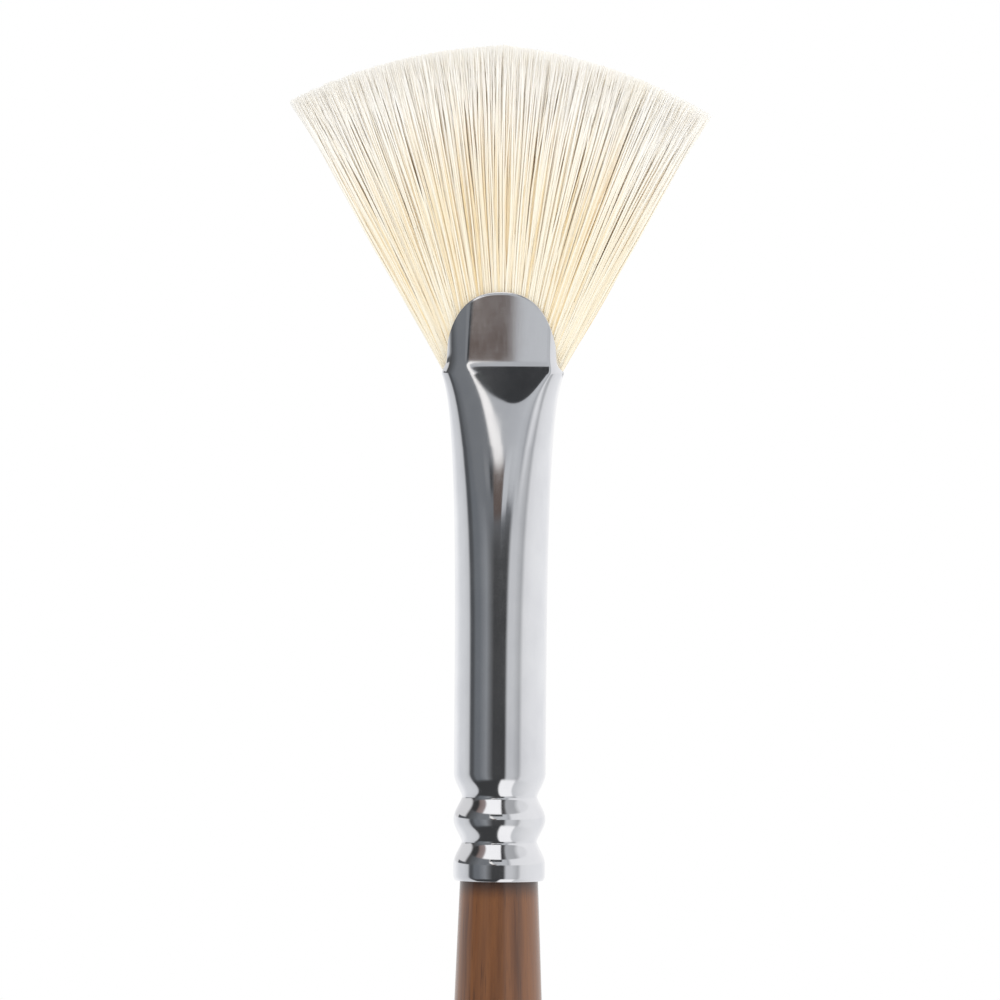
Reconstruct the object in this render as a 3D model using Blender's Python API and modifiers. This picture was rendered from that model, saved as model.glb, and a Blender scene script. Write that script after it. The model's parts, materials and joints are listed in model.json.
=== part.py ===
"""Fan brush for oil and acrylic painting: a turned wooden handle, a plated seamless
ferrule that is crimped round at one end and pressed flat at the other, and a fan of
hog bristles that leaves the flat end.

The brush stands upright on its butt end. The origin is the middle of the butt end, +Z
runs along the brush to the tips of the bristles, the fan spreads along X, and -Y is the
front. The bristles are grouped into locks, and each lock bends to the front or the back
about its own axis just outside the ferrule's mouth.
"""

import math

import bmesh
import bpy
from mathutils import Matrix, Vector

MM = 0.001

# Driving dimensions of the handle.
HANDLE_LENGTH = 235.4 * MM  # from the butt end to the ferrule's lower edge
BELLY_RADIUS = 4.4 * MM
BELLY_DROP = 45.0 * MM  # from the ferrule down to the handle's widest place
BUTT_RADIUS = 2.4 * MM
BUTT_FLAT_RADIUS = 1.0 * MM
TENON_LENGTH = 12.5 * MM  # the stretch of handle inside the ferrule
TENON_CHAMFER = 0.6 * MM

# Driving dimensions of the ferrule. Its sizes are those of its outer surface.
FERRULE_LENGTH = 49.0 * MM  # from its lower edge to the top of the mouth's arch
TUBE_RADIUS = 3.83 * MM
WALL = 0.30 * MM
EDGE_CURL = 0.45 * MM  # height of the stretch where the lower edge closes on the wood
CRIMP_DEPTH = 0.70 * MM
# Each crimp's height above the lower edge, and how far it reaches below and above that.
CRIMPS = (
    (3.25 * MM, 1.90 * MM, 1.875 * MM),
    (7.00 * MM, 1.875 * MM, 2.00 * MM),
)
VALLEY_POWER = 1.4  # 2 makes the bottom of each crimp a parabola
SHOULDER_POWER = 2.0  # 2 makes each shoulder a parabola
PRESS_LENGTH = 31.5 * MM  # the stretch over which the tube goes from round to flat
FLARE = 0.85 * MM  # how much wider than the tube the pressed end is
CORNER_FLARE = 0.40 * MM  # and how much wider again its two corners are
SQUARING = 0.65 * MM  # the depth that the blunter outline of the flat end costs
MOUTH_RISE = 6.82 * MM  # from the mouth's corners to the top of its arch
ARCH_POWER = 2.35  # 2 makes the arch half an ellipse, and more makes it squarer
LIP_INSET = 0.33 * MM  # how much narrower the lips are than the corners
LIP_BLEND = 0.70 * MM
LIP_CLOSING = 0.08  # how fast the lips close towards each other, per unit of height
CREASE_DROP = 6.09 * MM  # from the top of the arch down to the crease
CREASE_DEPTH = 1.88 * MM  # half the ferrule's depth at the crease
RAMP_SLOPE = 0.272  # of the half-moon below the crease
NAIL_SLOPE = 0.060  # of the flat nail above the crease
NAIL_TURN = 0.064  # the flats are turned about the brush, by this much depth per unit of width
NAIL_ROUNDING = 0.15 * MM  # where the flats run into the round sides

# Driving dimensions of what fills the ferrule.
GLUE_THICKNESS = 1.0 * MM
CEMENT_LENGTH = 5.0 * MM
ROOT_LENGTH = 20.0 * MM  # from the top of the arch down to the cement

# Driving dimensions of the fan.
BRISTLE_LENGTH = 20.6 * MM  # from the top of the arch to the tips
FAN_HALF_ANGLE = math.radians(28.8)
LOCKS = 15
BEND_LIMIT = math.radians(35.0)  # how far a lock bends to the front or the back
LOCK_THICKNESS = 1.6 * MM  # of the middle lock, where it bends
SIDE_THINNING = 0.35  # the share of its thickness that the outermost lock lacks
TIP_THICKNESS = 0.9 * MM
LOCK_CHAMFER = 0.2 * MM

# Clearances.
FIT_GAP = 0.20 * MM  # between pieces that lie in or against each other
CRIMP_GAP = 0.12 * MM  # between the tenon and the ferrule
NECK_GAP = 0.28 * MM  # between the handle's neck and the tube's bore
LOCK_GAP = 0.12 * MM  # between neighbouring locks, also when they bend together

# Facets.
HANDLE_STEPS = 28
FERRULE_COLUMNS = 40
CRIMP_ROWS = 19
PRESS_ROWS = 7
MOUTH_ROWS = 18
ROOT_ROWS = 14

# Sizes and heights that follow.
NECK_RADIUS = TUBE_RADIUS - WALL - NECK_GAP
FERRULE_BOTTOM = HANDLE_LENGTH
ARCH_TOP = FERRULE_BOTTOM + FERRULE_LENGTH
MOUTH_CORNER = ARCH_TOP - MOUTH_RISE
CREASE = ARCH_TOP - CREASE_DROP
PRESS_START = MOUTH_CORNER - PRESS_LENGTH
TENON_TOP = FERRULE_BOTTOM + TENON_LENGTH
ROOT_BOTTOM = ARCH_TOP - ROOT_LENGTH
EDGE_RADIUS = NECK_RADIUS + CRIMP_GAP + WALL
TIP_HEIGHT = ARCH_TOP + BRISTLE_LENGTH
CORNER_HALF_WIDTH = TUBE_RADIUS + FLARE + CORNER_FLARE
APEX = MOUTH_CORNER - (CORNER_HALF_WIDTH - WALL) / math.tan(FAN_HALF_ANGLE)
FAN_RADIUS = TIP_HEIGHT - APEX
LOCK_ANGLE = 2 * FAN_HALF_ANGLE / LOCKS
LOCK_SPREAD = math.tan(LOCK_ANGLE / 2)  # half width per unit of distance from the apex

# Each material's colour, metallic value and roughness.
MATERIALS = {
    "varnished_wood": ((0.19, 0.075, 0.03, 1.0), 0.0, 0.25),
    "plated_brass": ((0.78, 0.78, 0.80, 1.0), 1.0, 0.08),
    "wood_glue": ((0.75, 0.66, 0.42, 1.0), 0.0, 0.35),
    "bristle_cement": ((0.24, 0.15, 0.07, 1.0), 0.0, 0.30),
    "hog_bristle": ((0.82, 0.74, 0.56, 1.0), 0.0, 0.45),
}


def spaced(first, last, count):
    """count values from first to last, both included."""
    return [first + (last - first) * i / (count - 1) for i in range(count)]


# The ferrule's surface.


def tube_radius(z):
    """Outer radius of the round tube at height z, with its crimps and its curled edge."""
    height = z - FERRULE_BOTTOM
    radius = TUBE_RADIUS
    for middle, below, above in CRIMPS:
        reach = above if height > middle else below
        offset = abs(height - middle) / reach
        radius -= CRIMP_DEPTH * max(1 - offset**VALLEY_POWER, 0.0) ** SHOULDER_POWER
    if height < EDGE_CURL:
        radius -= (TUBE_RADIUS - EDGE_RADIUS) * (1 - height / EDGE_CURL) ** 2
    return radius


def pressing(z):
    """How far the tube is pressed flat at height z, from 0, round, to 1, flat."""
    share = (z - PRESS_START) / PRESS_LENGTH
    return min(max(share, 0.0), 1.0) ** 4


def outline_power(z):
    """The outline is an ellipse on the tube, and squarer towards the mouth's corners."""
    return 2 + pressing(z)


def half_width(z):
    pressed = pressing(z)
    width = tube_radius(z) + FLARE * pressed + CORNER_FLARE * pressed**5
    above = max(z - MOUTH_CORNER, 0.0) / LIP_BLEND
    return width - LIP_INSET * (1 - math.exp(-above * above))


def half_depth(z):
    """The metal's outline keeps its length, so the tube gets shallower as it widens."""
    below = min(z, MOUTH_CORNER)
    flared = FLARE * pressing(below)
    radius = tube_radius(below)
    depth = 2 * radius / (1 + (flared / radius) ** 2 / 4) - radius - flared
    return depth - SQUARING * pressing(below) - LIP_CLOSING * (z - below)


def nail_depth(z):
    """Half the distance between the two flats that the end is pressed between."""
    slope = RAMP_SLOPE if z < CREASE else NAIL_SLOPE
    return CREASE_DEPTH + (CREASE - z) * slope


def smaller_of(one, other, rounding):
    """The smaller value, with the step from one to the other rounded."""
    return (one + other - math.hypot(one - other, rounding)) / 2


def crimp_heights():
    """The heights of the ferrule's rings, and of the tenon's, from the curled edge up."""
    top = max(middle + above for middle, _, above in CRIMPS)
    return spaced(FERRULE_BOTTOM + EDGE_CURL, FERRULE_BOTTOM + top, CRIMP_ROWS)


def outline_point(z, turn):
    """A point of the ferrule's outline at height z. turn runs from the front, over +X."""
    power = 2 / outline_power(z)
    across = abs(math.sin(turn)) ** power
    along = abs(math.cos(turn)) ** power
    x = math.copysign(half_width(z) * across, math.sin(turn))
    flat = nail_depth(z) - NAIL_TURN * math.copysign(x, x * math.cos(turn))
    depth = smaller_of(half_depth(z) * along, flat, NAIL_ROUNDING)
    y = -math.copysign(max(depth, 0.0), math.cos(turn))
    return Vector((x, y))


def surface_point(z, turn, inset=0.0):
    """A point of the ferrule's outer surface, moved inwards by inset."""
    step = 0.01
    point = outline_point(z, turn)
    along = outline_point(z, turn + step) - outline_point(z, turn - step)
    outwards = Vector((along.y, -along.x)).normalized()
    point -= inset * outwards
    return Vector((point.x, point.y, z))


def mouth_edge(share):
    """A point of the arch seen from the front, as x and z. share is x over the half width."""
    z = MOUTH_CORNER + MOUTH_RISE * max(1 - share**ARCH_POWER, 0.0) ** (1 / ARCH_POWER)
    return half_width(z) * share, z


def mouth_height(turn):
    """Height of the mouth's edge on one column of the ferrule's surface."""
    share = abs(math.sin(turn)) ** (2 / outline_power(MOUTH_CORNER))
    return mouth_edge(share)[1]


def mouth_reach(angle):
    """Distance from the fan's apex to the mouth's edge, on a ray at this angle from +Z."""
    low, high = 0.0, 1.0
    for _ in range(30):
        share = (low + high) / 2
        x, z = mouth_edge(share)
        if math.atan2(x, z - APEX) < angle:
            low = share
        else:
            high = share
    return math.hypot(x, z - APEX)


# Mesh helpers.


def material(name):
    colour, metallic, roughness = MATERIALS[name]
    made = bpy.data.materials.new(name)
    made.use_nodes = True
    shader = made.node_tree.nodes["Principled BSDF"]
    shader.inputs["Base Color"].default_value = colour
    shader.inputs["Metallic"].default_value = metallic
    shader.inputs["Roughness"].default_value = roughness
    made.diffuse_color = colour
    return made


def finished(name, mesh, kind, collection, smooth_angle=30.0):
    """Makes the mesh an object of the brush, with its own material."""
    mesh.shade_smooth()
    mesh.set_sharp_from_angle(angle=math.radians(smooth_angle))
    mesh.materials.append(material(kind))
    piece = bpy.data.objects.new(name, mesh)
    collection.objects.link(piece)
    return piece


def skin(rings, caps=True, arched_top=False):
    """A mesh through rings of points, each ring counter-clockwise seen from its top.

    An arched top joins the front half of the last ring to its back half.
    """
    shape = bmesh.new()
    rows = [[shape.verts.new(point) for point in ring] for ring in rings]
    count = len(rows[0])
    for lower, upper in zip(rows, rows[1:]):
        for i in range(count):
            after = (i + 1) % count
            shape.faces.new((lower[i], lower[after], upper[after], upper[i]))
    if caps:
        shape.faces.new(tuple(reversed(rows[0])))
    if caps and not arched_top:
        shape.faces.new(tuple(rows[-1]))
    if caps and arched_top:
        top, half, quarter = rows[-1], count // 2, count // 4
        for i in range(-quarter, quarter):
            corners = (i, i + 1, half - i - 1, half - i)
            places = dict.fromkeys(corner % count for corner in corners)
            shape.faces.new([top[place] for place in places])
    bmesh.ops.recalc_face_normals(shape, faces=shape.faces)
    mesh = bpy.data.meshes.new("skin")
    shape.to_mesh(mesh)
    shape.free()
    return mesh


def turned(name, profile, kind, collection):
    """A turned piece. The profile is radius and height, and runs down its outer side."""
    mesh = bpy.data.meshes.new(name)
    corners = [(radius, 0.0, height) for radius, height in profile]
    mesh.from_pydata(corners, [(i, i + 1) for i in range(len(corners) - 1)], [])
    piece = finished(name, mesh, kind, collection)
    screw = piece.modifiers.new("turning", "SCREW")
    screw.steps = screw.render_steps = HANDLE_STEPS
    screw.use_merge_vertices = True
    screw.merge_threshold = 0.01 * MM
    screw.use_smooth_shade = True
    return piece


# The pieces that stay still.


def handle_radius(z):
    """Radius of the handle below the ferrule, apart from its rounded butt."""
    belly = HANDLE_LENGTH - BELLY_DROP
    if z > belly:
        share = (HANDLE_LENGTH - z) / BELLY_DROP
        return NECK_RADIUS + (BELLY_RADIUS - NECK_RADIUS) * math.sin(share * math.pi / 2)
    share = z / belly
    rise = math.sin(share * math.pi / 2) ** 1.3
    return BUTT_RADIUS + (BELLY_RADIUS - BUTT_RADIUS) * rise


def make_handle(collection):
    """The handle and its tenon, whose wood is pressed in where the ferrule is crimped."""
    tenon = []
    for z in [TENON_TOP - TENON_CHAMFER] + crimp_heights()[::-1] + [FERRULE_BOTTOM]:
        bore = tube_radius(z) - WALL - CRIMP_GAP
        tenon.append((min(NECK_RADIUS, bore), z))
    end = [(0.0, TENON_TOP), (tenon[0][0] - TENON_CHAMFER, TENON_TOP)]
    rounding = BUTT_RADIUS - BUTT_FLAT_RADIUS
    grip = [(handle_radius(z), z) for z in spaced(FERRULE_BOTTOM, rounding, 19)[1:]]
    butt = []
    for angle in spaced(0.0, math.pi / 2, 6)[1:]:
        radius = BUTT_FLAT_RADIUS + rounding * math.cos(angle)
        butt.append((radius, rounding * (1 - math.sin(angle))))
    profile = end + tenon + grip + butt + [(0.0, 0.0)]
    return turned("handle", profile, "varnished_wood", collection)


def make_ferrule(collection):
    """An open surface from the curled lower edge to the mouth, thickened inwards."""
    crimped = crimp_heights()
    mouth_start = CREASE - MOUTH_RISE
    heights = [FERRULE_BOTTOM, FERRULE_BOTTOM + EDGE_CURL / 2] + crimped
    heights += spaced(crimped[-1], mouth_start, PRESS_ROWS)[1:]
    turns = [2 * math.pi * i / FERRULE_COLUMNS for i in range(FERRULE_COLUMNS)]
    rings = [[surface_point(z, turn) for turn in turns] for z in heights]
    for row in range(1, MOUTH_ROWS + 1):
        share = row / MOUTH_ROWS
        ring = []
        for turn in turns:
            z = mouth_start + (mouth_height(turn) - mouth_start) * share
            ring.append(surface_point(z, turn))
        rings.append(ring)
    piece = finished("ferrule", skin(rings, caps=False), "plated_brass", collection)
    shell = piece.modifiers.new("wall", "SOLIDIFY")
    shell.thickness = WALL
    shell.offset = -1.0
    shell.use_even_offset = True
    return piece


def make_handle_glue(collection):
    """The glue that rises above the tenon when the handle is pushed home."""
    low = TENON_TOP + FIT_GAP
    high = low + GLUE_THICKNESS
    edge = TUBE_RADIUS - WALL - FIT_GAP
    crown = GLUE_THICKNESS / 3
    profile = [(0.0, high - crown), (edge / 2, high - crown), (edge, high), (edge, low), (0.0, low)]
    return turned("handle_glue", profile, "wood_glue", collection)


def filling(low, high, rows):
    """Rings that fill the ferrule's bore between two heights."""
    turns = [2 * math.pi * i / FERRULE_COLUMNS for i in range(FERRULE_COLUMNS)]
    inset = WALL + FIT_GAP
    return [[surface_point(z, turn, inset) for turn in turns] for z in spaced(low, high, rows)]


def make_bristle_cement(collection):
    """The block of cement that holds the roots of the bristles."""
    top = ROOT_BOTTOM - FIT_GAP
    rings = filling(top - CEMENT_LENGTH, top, 3)
    return finished("bristle_cement", skin(rings), "bristle_cement", collection)


def make_bristle_roots(collection):
    """The packed lower stretch of all the bristles, which ends level with the mouth."""
    turns = [2 * math.pi * i / FERRULE_COLUMNS for i in range(FERRULE_COLUMNS)]
    rings = []
    for share in spaced(0.0, 1.0, ROOT_ROWS):
        ring = []
        for turn in turns:
            z = ROOT_BOTTOM + (mouth_height(turn) - ROOT_BOTTOM) * share
            ring.append(surface_point(z, turn, WALL + FIT_GAP))
        rings.append(ring)
    mesh = skin(rings, arched_top=True)
    return finished("bristle_roots", mesh, "hog_bristle", collection)


# The bristles.


def lock_outline(half_across, half_thick):
    """The eight corners of a lock's chamfered cross-section, in its own X and Y."""
    chamfer = min(LOCK_CHAMFER, half_thick / 2, half_across / 2)
    x, y = half_across, half_thick
    quarter = [(x, y - chamfer), (x - chamfer, y)]
    left = [(-a, b) for a, b in reversed(quarter)]
    return quarter + left + [(-a, -b) for a, b in quarter] + [(-a, -b) for a, b in left]


def make_lock(number, collection):
    """One lock of bristles. Its origin is on its bending axis, which is its own X axis."""
    angle = (number - (LOCKS - 1) / 2) * LOCK_ANGLE
    sideways = abs(angle) / FAN_HALF_ANGLE
    thick = LOCK_THICKNESS / 2 * (1 - SIDE_THINNING * sideways**2)
    tip = TIP_THICKNESS / 2
    highest = mouth_reach(max(abs(angle) - LOCK_ANGLE / 2, 0.0))
    reach = highest + FIT_GAP + thick
    length = FAN_RADIUS - reach

    def half_across(s):
        """Half width at s beyond the axis. Bent together, locks close in by the second term."""
        closing = 2 * max(s, 0.0) * (1 - math.cos(BEND_LIMIT)) * LOCK_SPREAD
        return (reach + s) * LOCK_SPREAD - (LOCK_GAP + closing) / 2

    rings = []
    for lift in spaced(75.0, 0.0, 6):  # the base, round about the axis, follows the mouth
        edge = thick * math.cos(math.radians(lift))
        ring = []
        for x, y in lock_outline(half_across(0.0), edge):
            side = angle + math.copysign(LOCK_ANGLE / 2, x)
            radius = reach - mouth_reach(abs(side)) - FIT_GAP
            s = -math.sqrt(max(radius, thick) ** 2 - y * y)
            ring.append(Vector((x * half_across(s) / half_across(0.0), y, s)))
        rings.append(ring)
    straight = length - tip
    for share in (0.08, 0.3, 0.55, 0.8, 1.0):
        s = straight * share
        outline = lock_outline(half_across(s), thick + (tip - thick) * share)
        rings.append([Vector((x, y, s)) for x, y in outline])
    for bend in (30.0, 55.0, 80.0):  # the rounded tip
        s = straight + tip * math.sin(math.radians(bend))
        outline = lock_outline(half_across(s), tip * math.cos(math.radians(bend)))
        rings.append([Vector((x, y, s)) for x, y in outline])
    name = f"bristle_lock_{number + 1:02d}"
    lock = finished(name, skin(rings), "hog_bristle", collection)
    place = Vector((reach * math.sin(angle), 0.0, APEX + reach * math.cos(angle)))
    lock.matrix_world = Matrix.Translation(place) @ Matrix.Rotation(angle, 4, "Y")
    return lock


def main():
    for old in list(bpy.data.objects):
        bpy.data.objects.remove(old, do_unlink=True)
    collection = bpy.data.collections.new("fan_brush")
    bpy.context.scene.collection.children.link(collection)
    make_handle(collection)
    make_ferrule(collection)
    make_handle_glue(collection)
    make_bristle_cement(collection)
    make_bristle_roots(collection)
    for number in range(LOCKS):
        make_lock(number, collection)


main()
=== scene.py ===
"""Looks of the fan brush: a polished nickel ferrule, a varnished walnut handle and a fan of
single hog bristles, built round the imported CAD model.

Metres, +Z up. The brush stands on its butt end, the fan spreads along X and -Y is the front.
"""

import json
import math

import bpy
import numpy as np
from mathutils import Matrix, Vector


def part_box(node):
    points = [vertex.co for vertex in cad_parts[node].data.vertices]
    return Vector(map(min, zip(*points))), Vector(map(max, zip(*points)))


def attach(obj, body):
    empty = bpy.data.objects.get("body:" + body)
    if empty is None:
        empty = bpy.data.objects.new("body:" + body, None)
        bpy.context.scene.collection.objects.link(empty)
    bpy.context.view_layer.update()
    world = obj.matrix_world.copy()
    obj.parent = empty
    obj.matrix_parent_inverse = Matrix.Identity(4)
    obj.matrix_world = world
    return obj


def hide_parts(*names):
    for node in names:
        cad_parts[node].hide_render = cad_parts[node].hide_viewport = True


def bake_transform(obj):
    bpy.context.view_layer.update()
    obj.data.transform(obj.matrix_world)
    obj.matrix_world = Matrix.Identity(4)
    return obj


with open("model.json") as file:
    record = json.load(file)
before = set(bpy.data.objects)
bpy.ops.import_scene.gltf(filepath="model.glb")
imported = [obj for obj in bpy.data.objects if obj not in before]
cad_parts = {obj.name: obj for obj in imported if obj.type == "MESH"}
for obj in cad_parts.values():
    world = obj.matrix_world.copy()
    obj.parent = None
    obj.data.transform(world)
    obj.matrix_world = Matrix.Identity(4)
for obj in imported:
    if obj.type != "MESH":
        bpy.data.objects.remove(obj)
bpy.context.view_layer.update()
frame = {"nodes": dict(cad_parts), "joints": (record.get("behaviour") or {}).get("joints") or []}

MM = 0.001

# Places that the frame gives.
FERRULE_LOW, FERRULE_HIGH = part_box("ferrule")
FERRULE_BOTTOM = FERRULE_LOW.z
ARCH_TOP = FERRULE_HIGH.z
TIP_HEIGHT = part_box("bristle_lock_08")[1].z
TENON_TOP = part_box("handle")[1].z

# The handle, as the CAD model has it.
BELLY_RADIUS = 4.4 * MM
BELLY_DROP = 45.0 * MM
NECK_RADIUS = 3.25 * MM
TAPER_POWER = 1.3  # more keeps the handle thin for longer above the butt end
BUTT_RADIUS = 2.4 * MM
BUTT_FLAT_RADIUS = 1.0 * MM
TENON_CHAMFER = 0.6 * MM

# The ferrule's outer surface. Only its roundings and crown differ from the CAD model's.
TUBE_RADIUS = 3.83 * MM
WALL = 0.30 * MM
CRIMP_GAP = 0.12 * MM
EDGE_CURL = 0.45 * MM
EDGE_RADIUS = NECK_RADIUS + CRIMP_GAP + WALL
CRIMP_DEPTH = 0.70 * MM
# Each crimp's height above the lower edge, and how far it reaches below and above that.
CRIMPS = (
    (3.25 * MM, 1.90 * MM, 1.875 * MM),
    (7.00 * MM, 1.875 * MM, 2.00 * MM),
)
VALLEY_POWER = 1.4  # 2 makes the bottom of each crimp a parabola
SHOULDER_POWER = 2.0  # 2 makes each shoulder a parabola
PRESS_LENGTH = 31.5 * MM  # the stretch over which the tube goes from round to flat
FLARE = 0.85 * MM  # how much wider than the tube the pressed end is
CORNER_FLARE = 0.40 * MM  # and how much wider again its two corners are
SQUARING = 0.65 * MM  # the depth that the blunter outline of the flat end costs
MOUTH_RISE = 6.82 * MM  # from the mouth's corners to the top of its arch
ARCH_POWER = 2.35  # 2 makes the arch half an ellipse, and more makes it squarer
LIP_INSET = 0.33 * MM  # how much narrower the lips are than the corners
LIP_BLEND = 0.70 * MM
LIP_CLOSING = 0.08  # how fast the lips close towards each other, per unit of height
CREASE_DROP = 6.09 * MM  # from the top of the arch down to the crease
CREASE_DEPTH = 1.88 * MM  # half the ferrule's depth at the crease
RAMP_SLOPE = 0.272  # of the half-moon below the crease
NAIL_SLOPE = 0.060  # of the flat nail above the crease
NAIL_TURN = 0.064  # the flats are turned about the brush, by this much depth per unit of width
NAIL_ROUNDING = 0.08 * MM  # where the flats run into the round sides
NAIL_CROWN = 0.09 * MM  # how far the pressed flats bulge
NAIL_HALF_WIDTH = 4.0 * MM
CREASE_ROUNDING = 0.18 * MM
MOUTH_CORNER = ARCH_TOP - MOUTH_RISE
CREASE = ARCH_TOP - CREASE_DROP
PRESS_START = MOUTH_CORNER - PRESS_LENGTH

# The fan.
FAN_HALF_ANGLE = math.radians(28.8)
LOCKS = 15
LOCK_ANGLE = 2 * FAN_HALF_ANGLE / LOCKS
MOUTH_HALF_WIDTH = TUBE_RADIUS + FLARE + CORNER_FLARE - WALL
APEX = MOUTH_CORNER - MOUTH_HALF_WIDTH / math.tan(FAN_HALF_ANGLE)
FAN_RADIUS = TIP_HEIGHT - APEX

# The camera stands to the right of the front, level with the ferrule's pressed end.
CAMERA_AZIMUTH = math.radians(8.0)
CAMERA_DISTANCE = 0.65
CAMERA_ROLL = math.radians(0.43)
VIEW_WIDTH = 83.3 * MM  # what the picture covers, at the brush
VIEW_CENTRE = TIP_HEIGHT - 37.9 * MM
VIEW_OFFSET = -0.15 * MM
SENSOR = 36.0


# Shader helpers.


class Shader:
    """A node tree with short names for what the materials below need."""

    def __init__(self, tree):
        self.tree = tree
        tree.nodes.clear()

    def node(self, kind, inputs=(), **settings):
        made = self.tree.nodes.new(kind)
        for name, value in settings.items():
            setattr(made, name, value)
        for name, value in dict(inputs).items():
            self.feed(made.inputs[name], value)
        return made

    def feed(self, socket, value):
        if isinstance(value, bpy.types.NodeSocket):
            self.tree.links.new(value, socket)
        else:
            socket.default_value = value

    def math(self, operation, *values):
        made = self.node("ShaderNodeMath", operation=operation)
        for socket, value in zip(made.inputs, values):
            self.feed(socket, value)
        return made.outputs[0]

    def between(self, value, low, high):
        """0 where value is at low and below, 1 at high and above, smooth in between."""
        made = self.node("ShaderNodeMapRange", interpolation_type="SMOOTHSTEP")
        self.feed(made.inputs["Value"], value)
        made.inputs["From Min"].default_value = low
        made.inputs["From Max"].default_value = high
        return made.outputs["Result"]

    def spread(self, value, low, high, to_low, to_high):
        """The value's range from low to high, taken to another range."""
        made = self.node("ShaderNodeMapRange")
        self.feed(made.inputs["Value"], value)
        numbers = {"From Min": low, "From Max": high, "To Min": to_low, "To Max": to_high}
        for name, number in numbers.items():
            made.inputs[name].default_value = number
        return made.outputs["Result"]

    def mix(self, factor, one, other):
        made = self.node("ShaderNodeMix", data_type="RGBA")
        self.feed(made.inputs["Factor"], factor)
        self.feed(made.inputs[6], one)
        self.feed(made.inputs[7], other)
        return made.outputs[2]

    def ramp(self, value, stops):
        """A colour ramp. Each stop is a place from 0 to 1 and a linear colour."""
        made = self.node("ShaderNodeValToRGB")
        elements = made.color_ramp.elements
        while len(elements) < len(stops):
            elements.new(0.5)
        for element, (place, colour) in zip(elements, stops):
            element.position = place
            element.color = colour
        self.feed(made.inputs["Fac"], value)
        return made.outputs["Color"]

    def stretched(self, scale=(1.0, 1.0, 1.0)):
        """The piece's own coordinates in metres, with each axis scaled."""
        source = self.node("ShaderNodeTexCoord").outputs["Object"]
        return self.node("ShaderNodeMapping", {"Vector": source, "Scale": scale}).outputs[0]

    def noise(self, vector, scale, detail=3.0, roughness=0.5, distortion=0.0):
        inputs = {
            "Vector": vector,
            "Scale": scale,
            "Detail": detail,
            "Roughness": roughness,
            "Distortion": distortion,
        }
        return self.node("ShaderNodeTexNoise", inputs).outputs["Fac"]

    def bump(self, height, distance, strength=1.0):
        inputs = {"Height": height, "Distance": distance, "Strength": strength}
        return self.node("ShaderNodeBump", inputs).outputs["Normal"]


def srgb(red, green, blue):
    """A display colour from 0 to 255 as a linear colour."""
    linear = []
    for value in (red, green, blue):
        share = value / 255
        linear.append(share / 12.92 if share <= 0.04045 else ((share + 0.055) / 1.055) ** 2.4)
    return (*linear, 1.0)


def new_material(name, **inputs):
    """A material with a Principled shader, and its Shader helper."""
    made = bpy.data.materials.new(name)
    made.use_nodes = True
    shader = Shader(made.node_tree)
    surface = shader.node("ShaderNodeBsdfPrincipled")
    for key, value in inputs.items():
        shader.feed(surface.inputs[key.replace("_", " ")], value)
    shader.node("ShaderNodeOutputMaterial", {"Surface": surface.outputs[0]})
    return made, shader, surface


# Materials.


def nickel_plate():
    made, shader, surface = new_material("nickel_plate", Metallic=1.0)
    across = shader.stretched((1.0, 1.0, 0.04))
    along = shader.stretched((1.0, 1.0, 14.0))
    smudges = shader.noise(shader.stretched((1.0, 1.0, 0.6)), 260.0, 4.0, 0.6)
    drawn = shader.noise(across, 9000.0, 2.0)
    turned = shader.noise(along, 700.0, 2.0)
    lengthways = shader.math("MULTIPLY", drawn, 0.6)
    streaks = shader.math("ADD", lengthways, shader.math("MULTIPLY", turned, 0.4))
    tint = shader.ramp(smudges, [(0.3, (0.80, 0.80, 0.83, 1.0)), (0.7, (0.90, 0.90, 0.92, 1.0))])
    shader.feed(surface.inputs["Base Color"], tint)
    rough = shader.spread(smudges, 0.35, 0.75, 0.05, 0.11)
    rough = shader.math("ADD", rough, shader.spread(streaks, 0.3, 0.7, 0.0, 0.03))
    shader.feed(surface.inputs["Roughness"], rough)
    shader.feed(surface.inputs["Normal"], shader.bump(streaks, 0.0006 * MM, 0.35))
    return made


def varnished_walnut():
    made, shader, surface = new_material("varnished_walnut", Roughness=0.42)
    surface.inputs["Coat Weight"].default_value = 0.75
    surface.inputs["Coat Roughness"].default_value = 0.12
    surface.inputs["Coat IOR"].default_value = 1.55
    slow = shader.noise(shader.stretched((1.0, 1.0, 0.05)), 520.0, 3.0, 0.55, 0.4)
    fine = shader.noise(shader.stretched((1.0, 1.0, 0.018)), 2600.0, 3.0, 0.6)
    pores = shader.noise(shader.stretched((1.0, 1.0, 0.012)), 6500.0, 2.0, 0.5)
    body = shader.ramp(
        slow,
        [
            (0.28, srgb(70, 39, 20)),
            (0.45, srgb(96, 55, 26)),
            (0.58, srgb(116, 69, 31)),
            (0.75, srgb(87, 49, 26)),
        ],
    )
    streaked = shader.mix(shader.spread(fine, 0.35, 0.7, 0.0, 0.55), body, srgb(131, 80, 34))
    dark_pores = shader.between(pores, 0.60, 0.72)
    colour = shader.mix(shader.math("MULTIPLY", dark_pores, 0.45), streaked, srgb(54, 30, 18))
    height = shader.node("ShaderNodeSeparateXYZ", {"Vector": shader.stretched()}).outputs["Z"]
    # Painted shade: the handle gets darker towards the ferrule's lower edge, standing in for the
    # shadow that edge casts, mixed with some grime.
    ferrule_shade_and_grime = shader.between(height, FERRULE_BOTTOM - 1.6 * MM, FERRULE_BOTTOM - 0.1 * MM)
    colour = shader.mix(shader.math("MULTIPLY", ferrule_shade_and_grime, 0.75), colour, srgb(46, 28, 22))
    shader.feed(surface.inputs["Base Color"], colour)
    shader.feed(surface.inputs["Roughness"], shader.spread(fine, 0.3, 0.7, 0.36, 0.5))
    shader.feed(surface.inputs["Normal"], shader.bump(pores, 0.02 * MM, 0.25))
    return made


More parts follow.
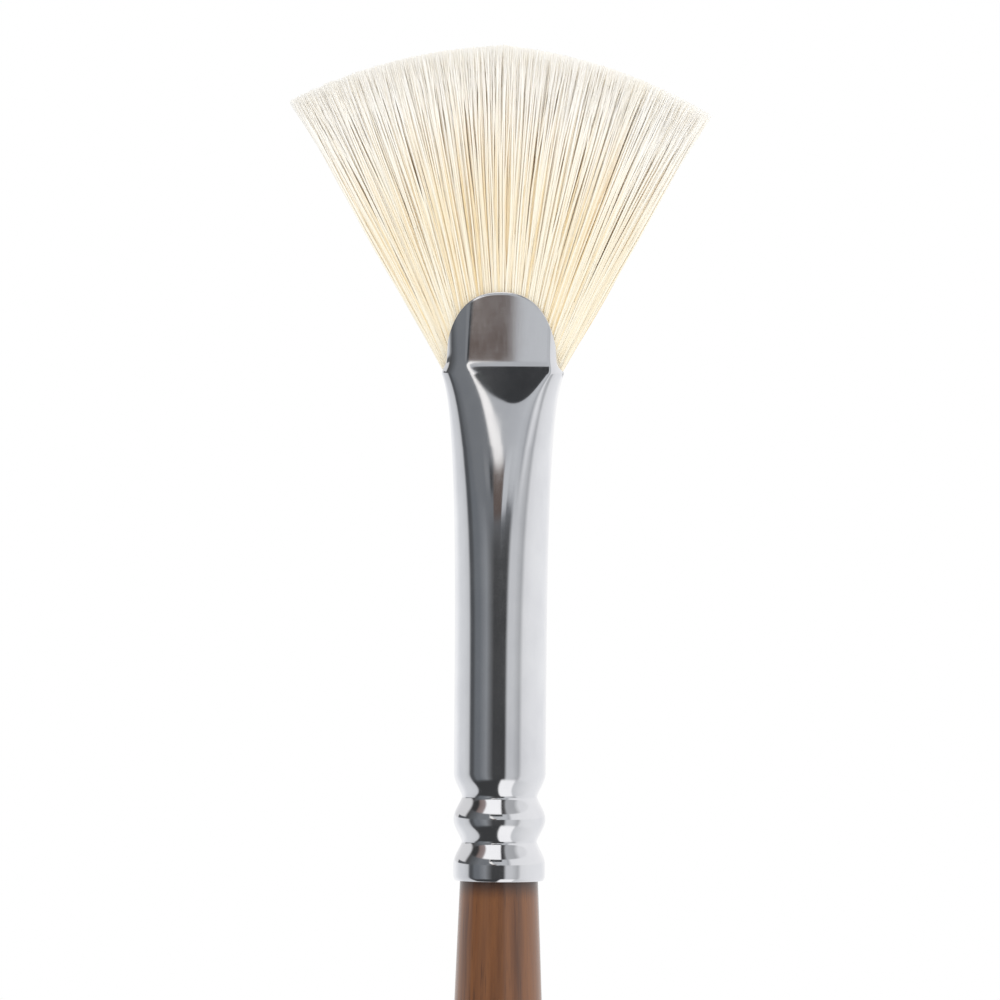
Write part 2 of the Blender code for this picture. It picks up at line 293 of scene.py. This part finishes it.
def hog_bristle():
    """Colour from where the bristle's map is: across, its own tone; up, its length."""
    made, shader, surface = new_material("hog_bristle", Roughness=0.5)
    surface.inputs["Specular IOR Level"].default_value = 0.0  # matt: the light is soft and even
    place = shader.node("ShaderNodeUVMap", uv_map="OFBake").outputs["UV"]
    parts = shader.node("ShaderNodeSeparateXYZ", {"Vector": place})
    tone, length = parts.outputs["X"], parts.outputs["Y"]
    base = shader.ramp(
        tone,
        [
            (0.0, srgb(222, 188, 128)),
            (0.18, srgb(234, 211, 164)),
            (0.42, srgb(243, 229, 200)),
            (1.0, srgb(247, 241, 225)),
        ],
    )
    tip = shader.ramp(
        tone,
        [
            (0.0, srgb(252, 247, 238)),
            (0.5, srgb(253, 250, 244)),
            (1.0, srgb(254, 252, 249)),
        ],
    )
    colour = shader.mix(shader.between(length, 0.42, 0.94), base, tip)
    scaled = shader.node("ShaderNodeMapping", {"Vector": place, "Scale": (24.0, 5.0, 1.0)})
    bands = shader.noise(scaled.outputs[0], 3.0)
    colour = shader.mix(shader.spread(bands, 0.3, 0.7, 0.0, 0.25), colour, srgb(252, 250, 240))
    shader.feed(surface.inputs["Base Color"], colour)
    return made


def packed_bristle():
    """The bristles inside the ferrule, as one mass with fine lines along it."""
    made, shader, surface = new_material("packed_bristle", Roughness=0.5)
    lines = shader.noise(shader.stretched((1.0, 1.0, 0.03)), 7000.0, 2.0)
    colour = shader.ramp(lines, [(0.35, srgb(150, 118, 70)), (0.65, srgb(232, 208, 156))])
    shader.feed(surface.inputs["Base Color"], colour)
    shader.feed(surface.inputs["Normal"], shader.bump(lines, 0.05 * MM, 0.6))
    return made


def mottled(name, dark, light, scale, roughness, depth):
    """A set adhesive: cloudy colour and a slightly uneven surface."""
    made, shader, surface = new_material(name, Roughness=roughness)
    clouds = shader.noise(shader.stretched(), scale, 4.0, 0.6)
    shader.feed(surface.inputs["Base Color"], shader.ramp(clouds, [(0.3, dark), (0.7, light)]))
    shader.feed(surface.inputs["Normal"], shader.bump(clouds, depth, 0.5))
    return made


# Mesh helpers.


def spaced(first, last, count):
    return [first + (last - first) * i / (count - 1) for i in range(count)]


def grid_piece(name, rows, material, body, closed_rows=False):
    """A piece through rows of points, each row a ring. Its map is the turn and the row."""
    rings, count = len(rows), len(rows[0])
    points = [tuple(point) for row in rows for point in row]
    faces = []
    corners = []
    for r in range(rings if closed_rows else rings - 1):
        above = (r + 1) % rings
        for c in range(count):
            after = (c + 1) % count
            near, far = r * count, above * count
            faces.append((near + c, near + after, far + after, far + c))
            left, right = c / count, (c + 1) / count
            low, high = r / rings, (r + 1) / rings
            corners += [(left, low), (right, low), (right, high), (left, high)]
    mesh = bpy.data.meshes.new(name)
    mesh.from_pydata(points, [], faces)
    layer = mesh.uv_layers.new(name="OFBake")
    layer.data.foreach_set("uv", np.array(corners, np.float32).ravel())
    mesh.shade_smooth()
    mesh.materials.append(material)
    piece = bpy.data.objects.new(name, mesh)
    bpy.context.scene.collection.objects.link(piece)
    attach(piece, body)
    return piece


# The ferrule.


def tube_radius(z):
    height = z - FERRULE_BOTTOM
    radius = TUBE_RADIUS
    for middle, below, above in CRIMPS:
        reach = above if height > middle else below
        offset = abs(height - middle) / reach
        radius -= CRIMP_DEPTH * max(1 - offset**VALLEY_POWER, 0.0) ** SHOULDER_POWER
    if height < EDGE_CURL:
        radius -= (TUBE_RADIUS - EDGE_RADIUS) * (1 - height / EDGE_CURL) ** 2
    return radius


def pressing(z):
    share = (z - PRESS_START) / PRESS_LENGTH
    return min(max(share, 0.0), 1.0) ** 4


def outline_power(z):
    return 2 + pressing(z)


def half_width(z):
    pressed = pressing(z)
    width = tube_radius(z) + FLARE * pressed + CORNER_FLARE * pressed**5
    above = max(z - MOUTH_CORNER, 0.0) / LIP_BLEND
    return width - LIP_INSET * (1 - math.exp(-above * above))


def half_depth(z):
    below = min(z, MOUTH_CORNER)
    flared = FLARE * pressing(below)
    radius = tube_radius(below)
    depth = 2 * radius / (1 + (flared / radius) ** 2 / 4) - radius - flared
    return depth - SQUARING * pressing(below) - LIP_CLOSING * (z - below)


def nail_depth(z):
    """Half the distance between the pressed flats, with the crease between them rounded."""
    drop = CREASE - z
    middle = (RAMP_SLOPE + NAIL_SLOPE) / 2
    bend = (RAMP_SLOPE - NAIL_SLOPE) / 2
    return CREASE_DEPTH + middle * drop + bend * math.hypot(drop, CREASE_ROUNDING)


def smaller_of(one, other, rounding):
    return (one + other - math.hypot(one - other, rounding)) / 2


def outline_point(z, turn):
    power = 2 / outline_power(z)
    across = abs(math.sin(turn)) ** power
    along = abs(math.cos(turn)) ** power
    x = math.copysign(half_width(z) * across, math.sin(turn))
    flat = nail_depth(z) - NAIL_TURN * math.copysign(x, x * math.cos(turn))
    flat -= NAIL_CROWN * (x / NAIL_HALF_WIDTH) ** 2
    depth = smaller_of(half_depth(z) * along, flat, NAIL_ROUNDING)
    y = -math.copysign(max(depth, 0.0), math.cos(turn))
    return Vector((x, y))


def surface_point(z, turn, inset=0.0):
    step = 0.004
    point = outline_point(z, turn)
    along = outline_point(z, turn + step) - outline_point(z, turn - step)
    outwards = Vector((along.y, -along.x)).normalized()
    point -= inset * outwards
    return Vector((point.x, point.y, z))


def mouth_edge(share):
    """A point of the mouth's arch, as x and z. share is x over the half width."""
    z = MOUTH_CORNER + MOUTH_RISE * max(1 - share**ARCH_POWER, 0.0) ** (1 / ARCH_POWER)
    return half_width(z) * share, z


def mouth_height(turn):
    share = abs(math.sin(turn)) ** (2 / outline_power(MOUTH_CORNER))
    return mouth_edge(share)[1]


FERRULE_COLUMNS = 192
CRIMP_ROWS = 90
TUBE_ROWS = 24
OUTER_ROWS = (64, 44)  # below the crease, and above it
INNER_ROWS = (24, 16)
LIP_ROWS = 7
FOOT_ROWS = 5
LIP_RADIUS = WALL / 2


def ferrule_column(turn, inset, heights_below, mouth_rows, nail_rows):
    """One column of points from the lower edge to just under the lip, on one surface."""
    top = mouth_height(turn) - LIP_RADIUS
    start = CREASE - MOUTH_RISE
    crease = min(CREASE, top - 2 * LIP_RADIUS)
    heights = heights_below + spaced(heights_below[-1], start, TUBE_ROWS)[1:]
    heights += spaced(start, crease, mouth_rows)[1:]
    heights += spaced(crease, top, nail_rows)[1:]
    return [surface_point(z, turn, inset) for z in heights]


def make_ferrule(material):
    """The outer surface, a rounded lip, the bore and a rounded lower edge, as one skin."""
    crimped = FERRULE_BOTTOM + max(middle + above for middle, _, above in CRIMPS)
    outer_low = spaced(FERRULE_BOTTOM + LIP_RADIUS / 2, crimped, CRIMP_ROWS)
    columns = []
    for i in range(FERRULE_COLUMNS):
        turn = 2 * math.pi * i / FERRULE_COLUMNS
        outer = ferrule_column(turn, 0.0, outer_low, *OUTER_ROWS)
        inner = ferrule_column(turn, WALL, outer_low, *INNER_ROWS)
        lip = lip_arc(outer[-1], inner[-1], LIP_RADIUS, LIP_ROWS)
        foot = lip_arc(inner[0], outer[0], -LIP_RADIUS / 2, FOOT_ROWS)
        columns.append(outer + lip + inner[::-1] + foot)
    rows = list(zip(*columns))
    piece = grid_piece("ferrule_shell", rows, material, "brush_body", closed_rows=True)
    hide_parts("ferrule")


def lip_arc(one, other, rise, count):
    """Points on the half round from one edge of the wall to the other."""
    middle, half = (one + other) / 2, (one - other) / 2
    arc = []
    for angle in spaced(0.0, math.pi, count + 2)[1:-1]:
        arc.append(middle + half * math.cos(angle) + Vector((0.0, 0.0, rise * math.sin(angle))))
    return arc


# The handle.

HANDLE_COLUMNS = 96
BUTT_ROWS = 14
HANDLE_ROWS = 90
TENON_ROWS = 40
POLE_RADIUS = 0.01 * MM  # the first and last rings are this small


def handle_radius(z):
    belly = FERRULE_BOTTOM - BELLY_DROP
    if z > belly:
        share = (FERRULE_BOTTOM - z) / BELLY_DROP
        return NECK_RADIUS + (BELLY_RADIUS - NECK_RADIUS) * math.sin(share * math.pi / 2)
    share = z / belly
    rise = math.sin(share * math.pi / 2) ** TAPER_POWER
    return BUTT_RADIUS + (BELLY_RADIUS - BUTT_RADIUS) * rise


def make_handle(material):
    """The turned handle, from the butt end to the top of its tenon."""
    rounding = BUTT_RADIUS - BUTT_FLAT_RADIUS
    profile = [(POLE_RADIUS, 0.0)]
    for angle in spaced(math.pi / 2, 0.0, BUTT_ROWS):
        radius = BUTT_FLAT_RADIUS + rounding * math.cos(angle)
        profile.append((radius, rounding * (1 - math.sin(angle))))
    profile += [(handle_radius(z), z) for z in spaced(rounding, FERRULE_BOTTOM, HANDLE_ROWS)[1:]]
    for z in spaced(FERRULE_BOTTOM, TENON_TOP - TENON_CHAMFER, TENON_ROWS)[1:]:
        bore = tube_radius(z) - WALL - CRIMP_GAP
        profile.append((min(NECK_RADIUS, bore), z))
    profile += [(profile[-1][0] - TENON_CHAMFER, TENON_TOP), (POLE_RADIUS, TENON_TOP)]
    rows = []
    for radius, z in profile:
        turns = [2 * math.pi * i / HANDLE_COLUMNS for i in range(HANDLE_COLUMNS)]
        rows.append([Vector((radius * math.sin(turn), -radius * math.cos(turn), z)) for turn in turns])
    piece = grid_piece("turned_handle", rows, material, "brush_body")
    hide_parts("handle")


# The bristles.

STRANDS = 90  # in each lock
STRAND_SIDES = 5
STRAND_RINGS = 15
FLATNESS = 0.55  # a bristle's thickness over its width
FLAGS = 3  # fine ends that each bristle splits into
FLAG_SIDES = 4
FLAG_RINGS = 6
TONES = 24
GOLDEN_SHARE = 0.618034  # the step in depth from one bristle to the next spreads them evenly
DEPTH_POWER = 0.5  # below 1 it puts more of them near the front and the back
ROOT_DEPTH = 2.6 * MM  # how far inside the mouth the bristles start
BORE_GAP = 0.10 * MM  # between the bore and the outer bristles
LEAST_ROOM = 0.12 * MM  # half the room that is kept at the mouth's corners
ROOT_RADIUS = 0.094 * MM
THICKNESS_SPREAD = 0.16
THINNEST = 0.7
THICKEST = 1.3
SPLIT_RADIUS = 0.065 * MM
FLAG_RADIUS = 0.041 * MM
FLAG_TIP_RADIUS = 0.027 * MM
TIP_HALF_THICKNESS = 0.62 * MM
# How much shorter than the middle the tips are cut: halfway to the corner, and at the corner.
RIGHT_TRIM = (0.25 * MM, 1.2 * MM)
LEFT_TRIM = (0.24 * MM, -0.2 * MM)
TIP_JITTER = 0.03 * MM
SWING = math.radians(0.28)  # how far a bristle strays sideways by its tip
BOW = 0.16 * MM  # how far it bends sideways on the way
WAVE = 0.05 * MM
TIP_DRIFT = 0.10 * MM  # how far its tip strays to the front or the back
STEM_END = 0.985  # the share of its length where a bristle's stem ends among its fine ends
FLAG_SPREAD = 0.17 * MM
FLAG_JITTER = 0.04 * MM
LEFT_SPLAY = math.radians(0.9)  # how far the outer tips spread past the locks' own angle
RIGHT_SPLAY = math.radians(0.55)


def mouth_share(angle):
    """The share of the mouth's half width at which a ray from the apex meets the edge."""
    low, high = 0.0, 1.0
    for _ in range(30):
        share = (low + high) / 2
        x, z = mouth_edge(share)
        if math.atan2(x, z - APEX) < angle:
            low = share
        else:
            high = share
    return share


def mouth_reach(angle):
    x, z = mouth_edge(mouth_share(angle))
    return math.hypot(x, z - APEX)


def bore_half_depth(angle):
    """Half the room for bristles between the lips, on a ray from the apex."""
    share = min(mouth_share(angle), 0.985)
    z = mouth_edge(share)[1]
    power = outline_power(z)
    round_depth = half_depth(z) * (1 - share**power) ** (1 / power)
    flat = nail_depth(z) - NAIL_TURN * share * half_width(z)
    return max(smaller_of(round_depth, flat, NAIL_ROUNDING) - WALL - BORE_GAP, LEAST_ROOM)


def tube_mesh(paths, radii, sides, tones, lengths):
    """Points, faces and map of closed tubes. paths: tubes x rings x 3, in the fan's own frame."""
    count, rings = radii.shape
    ray = paths[:, -1] - paths[:, 0]
    ray /= np.linalg.norm(ray, axis=1)[:, None]
    side = np.stack([ray[:, 2], np.zeros(count), -ray[:, 0]], axis=1)
    side /= np.linalg.norm(side, axis=1)[:, None]
    front = np.cross(ray, side)
    turns = 2 * math.pi * np.arange(sides) / sides
    offset = np.cos(turns)[None, :, None] * side[:, None]
    offset = offset + FLATNESS * np.sin(turns)[None, :, None] * front[:, None]
    points = paths[:, :, None] + radii[:, :, None, None] * offset[:, None]
    points = points.reshape(-1, 3)
    first = np.arange(count)[:, None, None] * rings * sides
    ring = np.arange(rings - 1)[None, :, None] * sides
    column = np.arange(sides)[None, None, :]
    after = (column + 1) % sides
    low, high = first + ring, first + ring + sides
    quads = np.stack([low + column, low + after, high + after, high + column], axis=-1)
    shares = 0.15 + 0.7 * np.arange(sides + 1)[None] / sides
    left = (tones[:, None] - 0.5) / TONES + shares / TONES
    u = np.stack([left[:, :-1], left[:, 1:], left[:, 1:], left[:, :-1]], axis=-1)
    u = np.broadcast_to(u[:, None], quads.shape)
    v = np.stack([lengths[:, :-1], lengths[:, :-1], lengths[:, 1:], lengths[:, 1:]], axis=-1)
    v = np.broadcast_to(v[:, :, None], quads.shape)
    maps = np.stack([u, v], axis=-1).reshape(-1, 2)
    caps = []
    cap_maps = []
    for place in (0, rings - 1):
        order = np.arange(sides) if place else np.arange(sides)[::-1]
        caps.append((first[:, 0] + place * sides) + order[None])
        middle = (left[:, 0] + left[:, -1]) / 2
        round_u = middle[:, None] + 0.2 / TONES * np.cos(turns)[None, order]
        at = np.clip(lengths[:, place], 0.02, 0.98)
        round_v = at[:, None] + 0.008 * np.sin(turns)[None, order]
        cap_maps.append(np.stack([round_u, round_v], axis=-1).reshape(-1, 2))
    return points, quads.reshape(-1, 4), np.concatenate(caps), np.concatenate([maps, *cap_maps])


def strand_set(number, rng):
    """Centre lines and radii of one lock's bristles and of the fine ends they split into."""
    middle = (number - (LOCKS - 1) / 2) * LOCK_ANGLE
    slots = (np.arange(STRANDS) + rng.uniform(0.1, 0.9, STRANDS)) / STRANDS
    angle = middle + (slots - 0.5) * LOCK_ANGLE
    depth = (np.arange(STRANDS) * GOLDEN_SHARE + rng.uniform()) % 1.0 * 2 - 1
    depth = np.sign(depth) * np.abs(depth) ** DEPTH_POWER
    sways = rng.normal(0.0, 1.0, (STRANDS, 4))
    tones = np.clip(rng.beta(2.2, 1.3, STRANDS) * TONES, 0, TONES - 1).astype(int) + 0.5
    s = np.linspace(0.0, 1.0, STRAND_RINGS)
    paths, radii = [], []
    for i in range(STRANDS):
        edge = mouth_reach(abs(angle[i]))
        room = bore_half_depth(abs(angle[i]))
        start = edge - ROOT_DEPTH
        aside = min(abs(angle[i]) / FAN_HALF_ANGLE, 1.0)
        halfway, corner = RIGHT_TRIM if angle[i] > 0 else LEFT_TRIM
        trim = halfway * max(math.sin(aside * math.pi), 0.0) ** 0.5 + corner * aside
        reach = FAN_RADIUS - trim - abs(sways[i, 3]) * TIP_JITTER
        radius = start + (reach - start) * s
        out = np.clip((radius - edge) / (reach - edge), 0.0, 1.0)
        swing = SWING * sways[i, 0] * out**1.5 * (1 - 0.6 * abs(angle[i]) / FAN_HALF_ANGLE)
        bow = BOW * sways[i, 1] * np.sin(math.pi * out)
        wave = WAVE * sways[i, 2] * np.sin(2 * math.pi * (out * 1.3 + slots[i]))
        splay = RIGHT_SPLAY if angle[i] > 0 else LEFT_SPLAY
        bearing = angle[i] + swing + splay * angle[i] / FAN_HALF_ANGLE * out
        y = depth[i] * (room + (TIP_HALF_THICKNESS - room) * out)
        y = y + TIP_DRIFT * sways[i, 1] * out**2
        across = bow + wave
        x = radius * np.sin(bearing) + across * math.cos(angle[i])
        z = APEX + radius * np.cos(bearing) - across * math.sin(angle[i])
        paths.append(np.stack([x, y, z], axis=1))
        thick = ROOT_RADIUS * (1 + THICKNESS_SPREAD * sways[i, 2])
        thick = min(max(thick, THINNEST * ROOT_RADIUS), THICKEST * ROOT_RADIUS)
        radii.append(thick + (SPLIT_RADIUS - thick) * out**1.3)
    return np.array(paths), np.array(radii), tones, s


def flag_set(paths, tones, s, rng):
    """The fine ends: each leaves its bristle near the tip and spreads a little."""
    rows, radii, lengths, shades = [], [], [], []
    for path, tone in zip(paths, tones):
        ray = path[-1] - path[0]
        ray /= np.linalg.norm(ray)
        side = np.array([ray[2], 0.0, -ray[0]])
        for _ in range(FLAGS):
            begin = rng.uniform(0.66, 0.80)
            spots = np.linspace(begin, 1.0, FLAG_RINGS)
            share = (spots - begin) / (1 - begin)
            line = np.stack([np.interp(spots, s, path[:, k]) for k in range(3)], axis=1)
            spread = rng.normal(0.0, FLAG_SPREAD, 2)
            aside = spread[0] * side + spread[1] * np.array([0.0, 1.0, 0.0])
            line += share[:, None] ** 1.4 * aside
            line[-1] += ray * rng.normal(0.0, FLAG_JITTER)
            rows.append(line)
            radii.append(FLAG_RADIUS + (FLAG_TIP_RADIUS - FLAG_RADIUS) * share)
            lengths.append(spots)
            shades.append(tone)
    return np.array(rows), np.array(radii), np.array(lengths), np.array(shades)


def make_lock(number, material):
    """One lock's bristles with their fine ends."""
    rng = np.random.default_rng(100 + number)
    paths, radii, tones, s = strand_set(number, rng)
    stem = np.linspace(0.0, STEM_END, STRAND_RINGS)
    stems = [np.stack([np.interp(stem, s, path[:, k]) for k in range(3)], axis=1) for path in paths]
    stems = np.array(stems)
    stem_radii = np.stack([np.interp(stem, s, row) for row in radii])
    stem_radii[:, -1] *= 0.5
    stem_radii[:, -2] *= 0.85
    lengths = np.broadcast_to(stem, stem_radii.shape)
    whole = tube_mesh(stems, stem_radii, STRAND_SIDES, tones, lengths)
    rows, fine_radii, fine_lengths, shades = flag_set(paths, tones, s, rng)
    fine = tube_mesh(rows, fine_radii, FLAG_SIDES, shades, fine_lengths)
    shift = len(whole[0])
    points = np.concatenate([whole[0], fine[0]])
    faces = whole[1].tolist() + whole[2].tolist()
    faces += (fine[1] + shift).tolist() + (fine[2] + shift).tolist()
    name = f"bristles_{number + 1:02d}"
    mesh = bpy.data.meshes.new(name)
    mesh.from_pydata(points.tolist(), [], faces)
    layer = mesh.uv_layers.new(name="OFBake")
    layer.data.foreach_set("uv", np.concatenate([whole[3], fine[3]]).astype(np.float32).ravel())
    mesh.shade_smooth()
    mesh.materials.append(material)
    piece = bpy.data.objects.new(name, mesh)
    bpy.context.scene.collection.objects.link(piece)
    joint = next(j for j in frame["joints"] if j["name"] == f"lock_{number + 1:02d}_bend")
    hinge = Vector(joint["pos_m"])
    ray = Vector((hinge.x, 0.0, hinge.z - APEX)).normalized()
    angle = math.atan2(hinge.x, hinge.z - APEX)
    mouth = Vector((0.0, 0.0, APEX)) + ray * mouth_reach(abs(angle))
    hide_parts(f"bristle_lock_{number + 1:02d}")
    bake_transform(piece)


# The studio.


def make_floor():
    """A pale round table top under the brush."""
    radius, sides = 1.5, 96
    mesh = bpy.data.meshes.new("table_top")
    turns = [2 * math.pi * i / sides for i in range(sides)]
    points = [(radius * math.cos(turn), radius * math.sin(turn), 0.0) for turn in turns]
    mesh.from_pydata(points, [], [list(range(sides))])
    made, shader, surface = new_material("table_top", Roughness=0.6)
    cloud = shader.noise(shader.stretched(), 6.0)
    pale = shader.ramp(cloud, [(0.3, srgb(236, 236, 236)), (0.7, srgb(240, 240, 239))])
    shader.feed(surface.inputs["Base Color"], pale)
    mesh.materials.append(made)
    floor = bpy.data.objects.new("table_top", mesh)
    floor.visible_glossy = False  # the metal reflects the room's panels instead
    bpy.context.scene.collection.objects.link(floor)


def grey(value, tint=1.0):
    """A reflected tone, from its display value. A tint over 1 is bluer."""
    red, green, blue, _ = srgb(value, value, value)
    return (red / tint, green, blue * tint, 1.0)


ROOM_LIGHT = 1.22  # what matt surfaces get; the picture is a bright, overexposed one
LIGHT_FROM_RIGHT = 0.22  # how much more of it comes from the right, and less from the left


def make_world():
    """A white room. What the metal and the varnish reflect is a ring of panels round the brush.

    Azimuth is 0 in front (-Y) and grows to the right (+X); the ramps run from -180 to 180.
    """
    world = bpy.data.worlds.new("studio")
    bpy.context.scene.world = world
    world.use_nodes = True
    shader = Shader(world.node_tree)
    direction = shader.node("ShaderNodeTexCoord").outputs["Generated"]
    parts = shader.node("ShaderNodeSeparateXYZ", {"Vector": direction})
    x, y, z = (parts.outputs[name] for name in "XYZ")
    azimuth = shader.math("ARCTAN2", x, shader.math("MULTIPLY", y, -1.0))
    turn = shader.spread(azimuth, -math.pi, math.pi, 0.0, 1.0)
    elevation = shader.math("MULTIPLY", shader.math("ARCSINE", z), 180 / math.pi)
    degrees = shader.math("MULTIPLY", azimuth, 180 / math.pi)

    def ring(*stops):
        """Panels all the way round. Each stop is an azimuth in degrees and a colour."""
        return shader.ramp(turn, [(0.5 + place / 360, colour) for place, colour in stops])

    def window(value, first, last, soft):
        """1 between first and last, 0 outside, with soft edges."""
        rise = shader.between(value, first - soft, first + soft)
        return shader.math("MULTIPLY", rise, shader.between(value, last + soft, last - soft))

    def patch(below, colour, azimuths, elevations, soft=1.0):
        """One more panel, in front of what is given."""
        wide = window(degrees, *azimuths, soft)
        inside = shader.math("MULTIPLY", wide, window(elevation, *elevations, soft))
        return shader.mix(inside, below, colour)

    # Below the horizon: bright on the whole, with a dark arch in front and to the left.
    low = ring(
        (-172, grey(250)),
        (-150, grey(214, 1.02)),
        (-100, grey(222, 1.02)),
        (-30, grey(190, 1.02)),
        (6, grey(255)),
        (50, grey(255)),
        (56, grey(205, 1.02)),
        (90, grey(226, 1.01)),
        (172, grey(250)),
    )
    across = shader.math("DIVIDE", shader.math("ADD", degrees, 31.0), 48.0)
    across = shader.math("POWER", across, 2.0)
    down = shader.math("POWER", shader.math("DIVIDE", elevation, 80.0), 2.0)
    outside = shader.between(shader.math("ADD", across, down), 0.85, 1.1)
    low = shader.mix(outside, grey(64, 1.03), low)
    # Level with the brush: what the tube shows.
    level = ring(
        (-172, grey(252)),
        (-136, grey(250, 1.01)),
        (-112, grey(224, 1.02)),
        (-92, grey(216, 1.02)),
        (-78, grey(204, 1.02)),
        (-71, grey(84, 1.06)),
        (-64, grey(82, 1.06)),
        (-56, grey(112, 1.08)),
        (-45, grey(114, 1.08)),
        (-27, grey(142, 1.05)),
        (-17, grey(106, 1.03)),
        (-9, grey(68, 1.02)),
        (19, grey(68, 1.02)),
        (26, grey(204, 1.02)),
        (40, grey(202, 1.02)),
        (56, grey(176, 1.02)),
        (65, grey(225, 1.01)),
        (84, grey(233, 1.01)),
        (140, grey(242, 1.01)),
        (172, grey(252)),
    )
    # Just above that, for the pressed flanks: dark to the left and light to the right.
    left = ring(
        (-172, grey(250)),
        (-134, grey(226)),
        (-94, grey(218)),
        (-85, grey(74)),
        (-62, grey(96, 1.06)),
        (-45, grey(120, 1.06)),
        (0, grey(120, 1.06)),
    )
    right = ring(
        (-20, grey(172, 1.03)),
        (18, grey(196, 1.03)),
        (27, grey(190, 1.03)),
        (32, grey(172, 1.03)),
        (40, grey(230, 1.01)),
        (172, grey(252)),
    )
    # Higher still: what the upper sides of the beads show.
    high = ring(
        (-172, grey(240)),
        (-134, grey(226)),
        (-93, grey(218)),
        (-86, grey(54)),
        (-68, grey(54)),
        (-60, srgb(130, 116, 112)),
        (-44, srgb(150, 138, 136)),
        (-38, grey(255)),
        (12, grey(255)),
        (16, grey(44)),
        (25, grey(90)),
        (32, grey(178, 1.02)),
        (60, grey(172, 1.02)),
        (76, grey(226, 1.01)),
        (172, grey(240)),
    )
    # A white strip parts left from right. It leans, so it follows the ridge of the flank.
    decay = shader.math("POWER", 0.805, elevation)
    slanted = shader.math("SUBTRACT", shader.math("MULTIPLY", decay, 86.0), 13.0)
    aside = shader.math("SUBTRACT", degrees, slanted)
    raised = shader.mix(shader.between(aside, -1.0, 1.0), left, right)
    strip = window(aside, -5.4, 2.2, 1.0)
    strip = shader.math("MULTIPLY", strip, shader.between(elevation, 5.0, 10.0))
    raised = shader.mix(strip, raised, srgb(255, 253, 250))
    # What the flat nail shows: light, then brown, grey and black towards the left.
    raised = patch(raised, grey(200, 1.03), (0.8, 9.5), (5.0, 10.0), 0.5)
    raised = patch(raised, srgb(98, 86, 80), (-11.0, 0.8), (5.0, 10.0), 0.5)
    raised = patch(raised, grey(136, 1.04), (-23.0, -17.0), (7.2, 9.8))
    raised = patch(raised, grey(40), (-15.5, -11.0), (7.2, 9.8), 0.7)
    # And what the left edge of the pressed end shows.
    raised = patch(raised, grey(92, 1.05), (-120.0, -84.0), (4.0, 12.5))
    reflected = shader.mix(shader.between(elevation, -40.0, -26.0), low, level)
    reflected = shader.mix(shader.between(elevation, 2.5, 6.0), reflected, raised)
    # The dark panel that the half-moon shows.
    reflected = patch(reflected, grey(56, 1.05), (-17.0, 16.0), (25.0, 35.0), 0.7)
    reflected = shader.mix(shader.between(elevation, 33.0, 37.0), reflected, high)
    path = shader.node("ShaderNodeLightPath")
    tilt = shader.math("MULTIPLY", x, ROOM_LIGHT * LIGHT_FROM_RIGHT)
    matt = shader.math("ADD", ROOM_LIGHT, tilt)
    white = shader.node("ShaderNodeCombineColor", {"Red": matt, "Green": matt, "Blue": matt})
    colour = shader.mix(path.outputs["Is Glossy Ray"], white.outputs[0], reflected)
    colour = shader.mix(path.outputs["Is Camera Ray"], colour, (1.0, 1.0, 1.0, 1.0))
    light = shader.node("ShaderNodeBackground", {"Color": colour, "Strength": 1.0})
    shader.node("ShaderNodeOutputWorld", {"Surface": light.outputs[0]})


def make_camera():
    data = bpy.data.cameras.new("camera")
    data.sensor_width = SENSOR
    data.lens = SENSOR * CAMERA_DISTANCE / VIEW_WIDTH
    data.clip_start = 0.01
    data.clip_end = 10.0
    camera = bpy.data.objects.new("camera", data)
    bpy.context.scene.collection.objects.link(camera)
    right = Vector((math.cos(CAMERA_AZIMUTH), math.sin(CAMERA_AZIMUTH), 0.0))
    back = Vector((math.sin(CAMERA_AZIMUTH), -math.cos(CAMERA_AZIMUTH), 0.0))
    target = Vector((0.0, 0.0, VIEW_CENTRE)) + right * VIEW_OFFSET
    camera.matrix_world = (
        Matrix.Translation(target + back * CAMERA_DISTANCE)
        @ Matrix.Rotation(CAMERA_AZIMUTH, 4, "Z")
        @ Matrix.Rotation(math.pi / 2, 4, "X")
        @ Matrix.Rotation(CAMERA_ROLL, 4, "Z")
    )
    bpy.context.scene.camera = camera


def repaint(node, material):
    """Gives a CAD node that stays in view its own material."""
    slots = frame["nodes"][node].data.materials
    slots.clear()
    slots.append(material)


make_camera()
make_world()
make_floor()
bpy.context.scene.view_settings.view_transform = "Standard"
bpy.context.scene.cycles.max_bounces = 20
bpy.context.scene.cycles.diffuse_bounces = 20

make_ferrule(nickel_plate())
make_handle(varnished_walnut())
glue = mottled("dried_glue", srgb(214, 196, 150), srgb(232, 220, 184), 900.0, 0.4, 0.03 * MM)
cement = mottled("set_cement", srgb(110, 78, 42), srgb(158, 120, 72), 700.0, 0.3, 0.03 * MM)
repaint("handle_glue", glue)
repaint("bristle_cement", cement)
repaint("bristle_roots", packed_bristle())
bristle = hog_bristle()
for number in range(LOCKS):
    make_lock(number, bristle)
